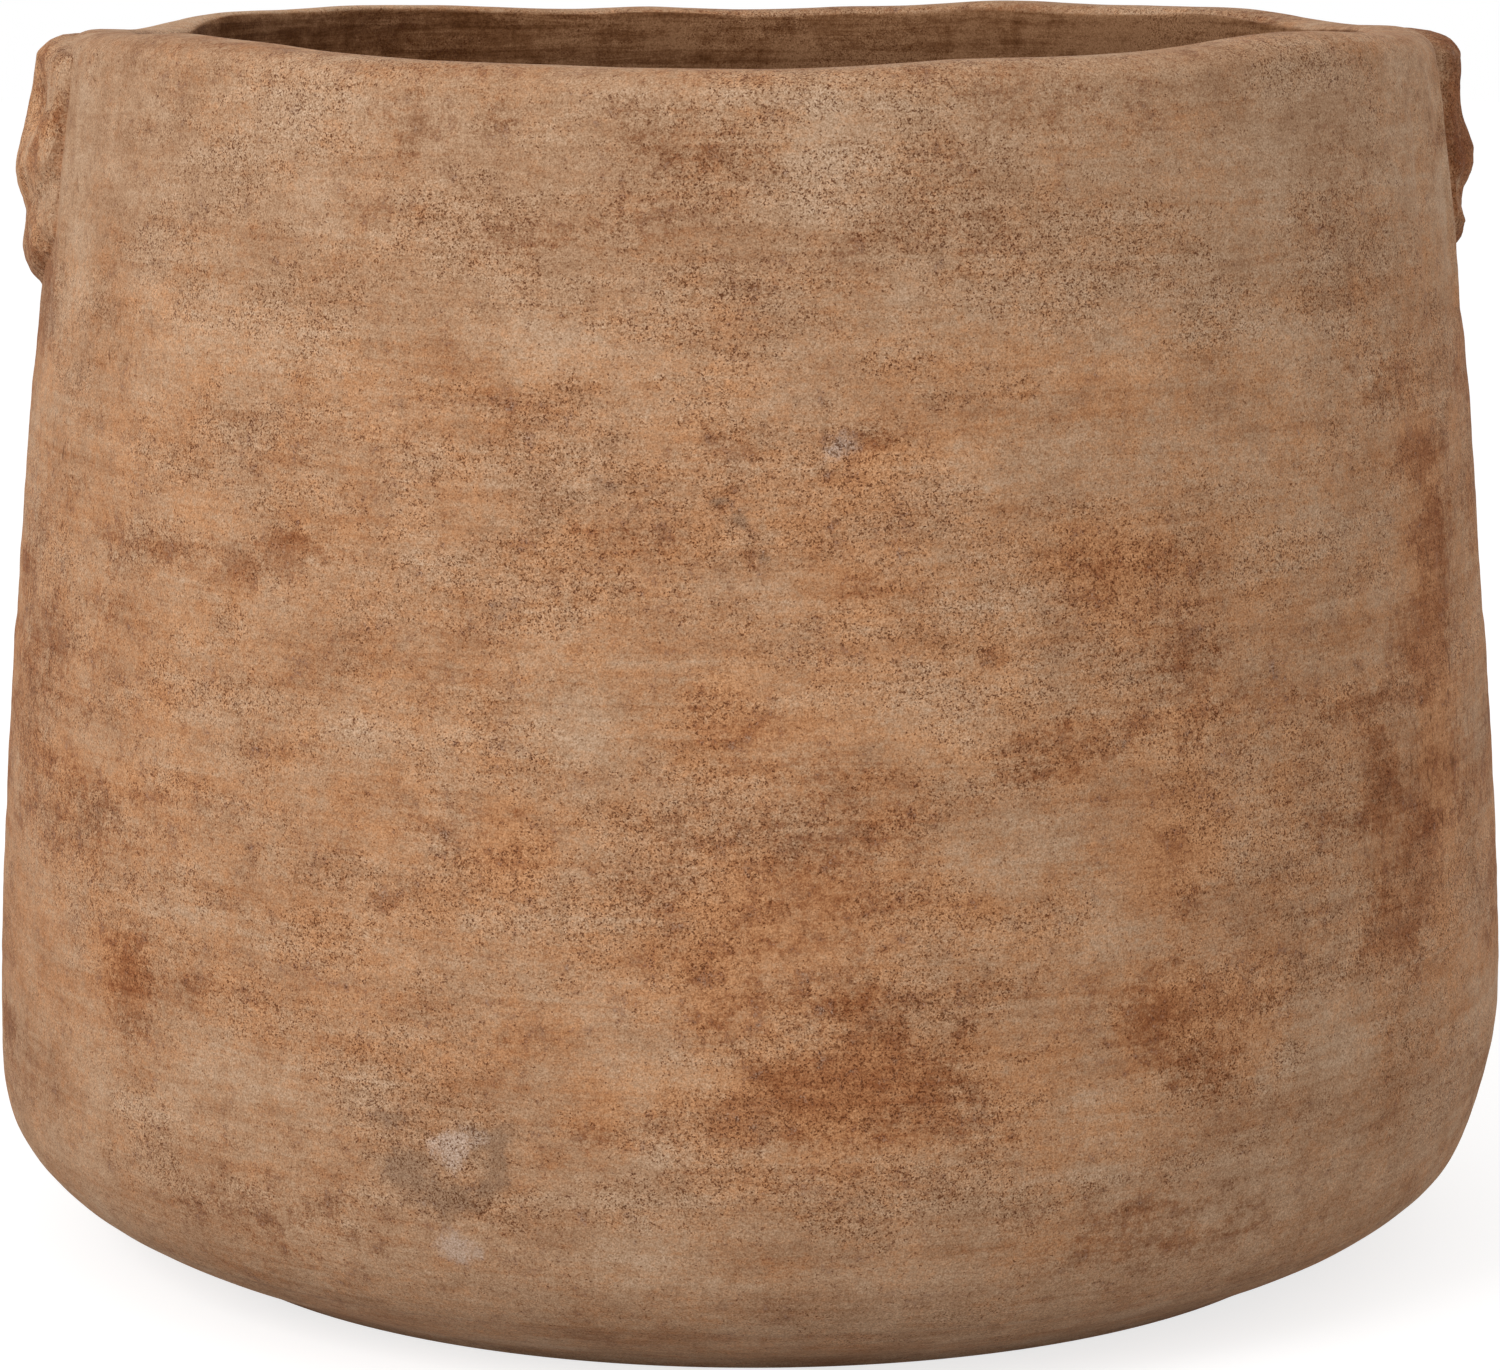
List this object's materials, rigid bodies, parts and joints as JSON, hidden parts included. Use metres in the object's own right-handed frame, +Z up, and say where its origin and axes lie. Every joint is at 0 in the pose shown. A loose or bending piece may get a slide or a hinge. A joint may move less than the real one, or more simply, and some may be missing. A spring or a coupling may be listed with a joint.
{
  "type": "flower pot",
  "caption": "Large hand-built terracotta planter with a rounded foot, a wall that narrows upwards, a wavy rolled rim and low pinched lugs, for planting outdoors or in.",
  "frame": {"origin": "centre of the flat base, on the ground", "axes": "+Z up along the pot's axis, -Y towards the pictured front, lugs close to the X axis"},
  "size_m": [0.48, 0.48, 0.383],
  "materials": {
    "body_clay": "dry sandy terracotta with wiped bands and rust-brown patches",
    "rim_clay": "smooth wiped terracotta",
    "lug_clay": "rough torn terracotta"
  },
  "bodies": {
    "root": {"floor_slab": "body_clay", "foot_ring": "body_clay", "belly_ring": "body_clay", "middle_ring": "body_clay", "upper_ring": "body_clay", "rim_roll": "rim_clay", "left_lug": "lug_clay", "right_lug": "lug_clay"}
  },
  "joints": []
}
